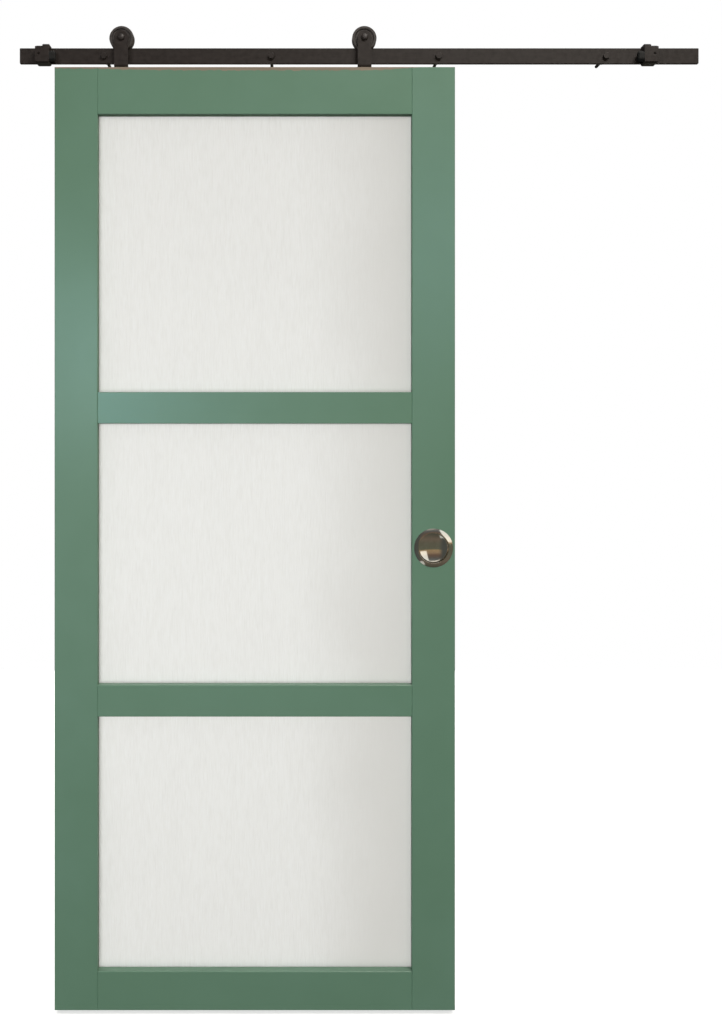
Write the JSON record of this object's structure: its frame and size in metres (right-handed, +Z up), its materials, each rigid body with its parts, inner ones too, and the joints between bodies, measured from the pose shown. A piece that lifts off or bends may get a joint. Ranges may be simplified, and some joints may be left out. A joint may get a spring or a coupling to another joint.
{
  "type": "sliding glazed door",
  "caption": "Sage green stile-and-rail sliding door with frosted panes and round flush pulls, hung from a flat black wall track by strap hangers with grooved wheels that roll between end stops.",
  "frame": {"origin": "on the wall plane, midway along the row of wall screws, at mid-height of the track bar", "axes": "+X along the track to the right seen from the front, +Y into the wall, +Z up"},
  "size_m": [1.48, 0.093, 2.1337],
  "materials": {
    "green_paint": "satin",
    "frosted_glass": "matte",
    "gasket_rubber": "matte",
    "bare_wood": "matte",
    "black_iron": "satin",
    "bearing_steel": "polished",
    "zinc_steel": "satin",
    "polished_nickel": "polished",
    "bumper_rubber": "matte"
  },
  "bodies": {
    "track": {"track_bar": "black_iron", "track_spacers": "black_iron", "track_screws": "black_iron", "left_stop_body": "black_iron", "left_stop_bumper": "bumper_rubber", "left_stop_screw": "black_iron", "right_stop_body": "black_iron", "right_stop_bumper": "bumper_rubber", "right_stop_screw": "black_iron"},
    "door": {"left_stile": "green_paint", "right_stile": "green_paint", "top_rail": "green_paint", "upper_mid_rail": "green_paint", "lower_mid_rail": "green_paint", "bottom_rail": "green_paint", "rail_dowels": "bare_wood", "upper_pane": "frosted_glass", "middle_pane": "frosted_glass", "lower_pane": "frosted_glass", "upper_gasket": "gasket_rubber", "middle_gasket": "gasket_rubber", "lower_gasket": "gasket_rubber", "upper_left_bead": "green_paint", "upper_right_bead": "green_paint", "upper_top_bead": "green_paint", "upper_bottom_bead": "green_paint", "middle_left_bead": "green_paint", "middle_right_bead": "green_paint", "middle_top_bead": "green_paint", "middle_bottom_bead": "green_paint", "lower_left_bead": "green_paint", "lower_right_bead": "green_paint", "lower_top_bead": "green_paint", "lower_bottom_bead": "green_paint", "front_flush_pull": "polished_nickel", "rear_flush_pull": "polished_nickel", "left_hanger_strap": "black_iron", "left_foot_screws": "zinc_steel", "left_axle_bolt": "black_iron", "left_axle_nut": "zinc_steel", "left_axle_collars": "zinc_steel", "left_bearing_inner_ring": "bearing_steel", "right_hanger_strap": "black_iron", "right_foot_screws": "zinc_steel", "right_axle_bolt": "black_iron", "right_axle_nut": "zinc_steel", "right_axle_collars": "zinc_steel", "right_bearing_inner_ring": "bearing_steel"},
    "left_roller": {"left_wheel": "black_iron", "left_bearing_outer_ring": "bearing_steel", "left_bearing_balls": "bearing_steel"},
    "right_roller": {"right_wheel": "black_iron", "right_bearing_outer_ring": "bearing_steel", "right_bearing_balls": "bearing_steel"}
  },
  "joints": [
    {"name": "door_slide", "type": "slide", "parent": "track", "child": "door", "axis": [1, 0, 0], "range_m": [-0.127, 0.5775]},
    {"name": "left_wheel_spin", "type": "hinge", "parent": "door", "child": "left_roller", "pos_m": [-0.5085, -0.03, 0.03725], "axis": [0, 1, 0], "continuous": true},
    {"name": "right_wheel_spin", "type": "hinge", "parent": "door", "child": "right_roller", "pos_m": [0.02, -0.03, 0.03725], "axis": [0, 1, 0], "continuous": true}
  ],
  "couplings": [
    {"joint": "left_wheel_spin", "follows": "door_slide", "rad_per_m": 49.383},
    {"joint": "right_wheel_spin", "follows": "door_slide", "rad_per_m": 49.383}
  ]
}
